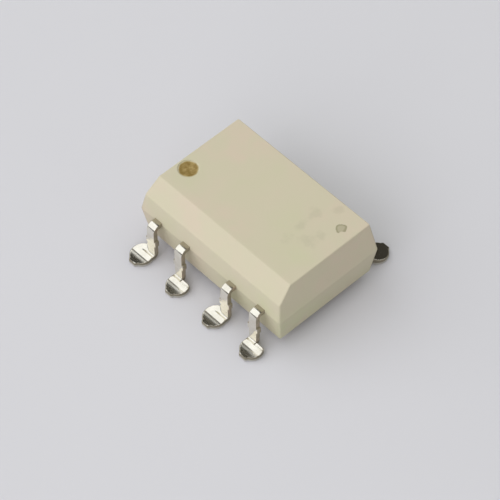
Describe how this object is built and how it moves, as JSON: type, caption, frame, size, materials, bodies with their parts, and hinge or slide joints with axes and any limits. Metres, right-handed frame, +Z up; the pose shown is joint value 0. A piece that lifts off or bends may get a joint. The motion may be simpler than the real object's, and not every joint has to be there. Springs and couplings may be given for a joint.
{
  "type": "surface-mount optocoupler",
  "caption": "Cream moulded optocoupler package for a circuit board, bevelled along one long side, with bent tin-plated leads that end in round solder pads",
  "frame": {"origin": "on the board plane under the middle of the part, at the middle of its bounding box", "axes": "+X along the body with the index dimple at -X, -Y is the bevelled side that carries leads one to four, +Z up from the board"},
  "size_m": [0.0094, 0.0094, 0.004],
  "materials": {
    "cream_moulding": "cream glass-filled epoxy moulding, satin, with a faintly mottled skin",
    "tin_plate": "bright tin plate on copper-alloy sheet",
    "emitter_die": "dark red gallium arsenide chip",
    "silicon_die": "dark blue-grey silicon chip",
    "die_adhesive": "silver-filled adhesive",
    "gold_wire": "drawn gold bond wire",
    "clear_gel": "clear silicone gel"
  },
  "bodies": {
    "root": {"moulded_body": "cream_moulding", "lead_1": "tin_plate", "lead_2": "tin_plate", "lead_3": "tin_plate", "lead_4": "tin_plate", "lead_5": "tin_plate", "lead_6": "tin_plate", "lead_7": "tin_plate", "lead_8": "tin_plate", "led_die_1": "emitter_die", "led_die_2": "emitter_die", "detector_die_1": "silicon_die", "detector_die_2": "silicon_die", "led_attach_1": "die_adhesive", "led_attach_2": "die_adhesive", "detector_attach_1": "die_adhesive", "detector_attach_2": "die_adhesive", "led_wire_1": "gold_wire", "led_wire_2": "gold_wire", "detector_wire_1": "gold_wire", "detector_wire_2": "gold_wire", "gel_dome_1": "clear_gel", "gel_dome_2": "clear_gel"}
  },
  "joints": []
}
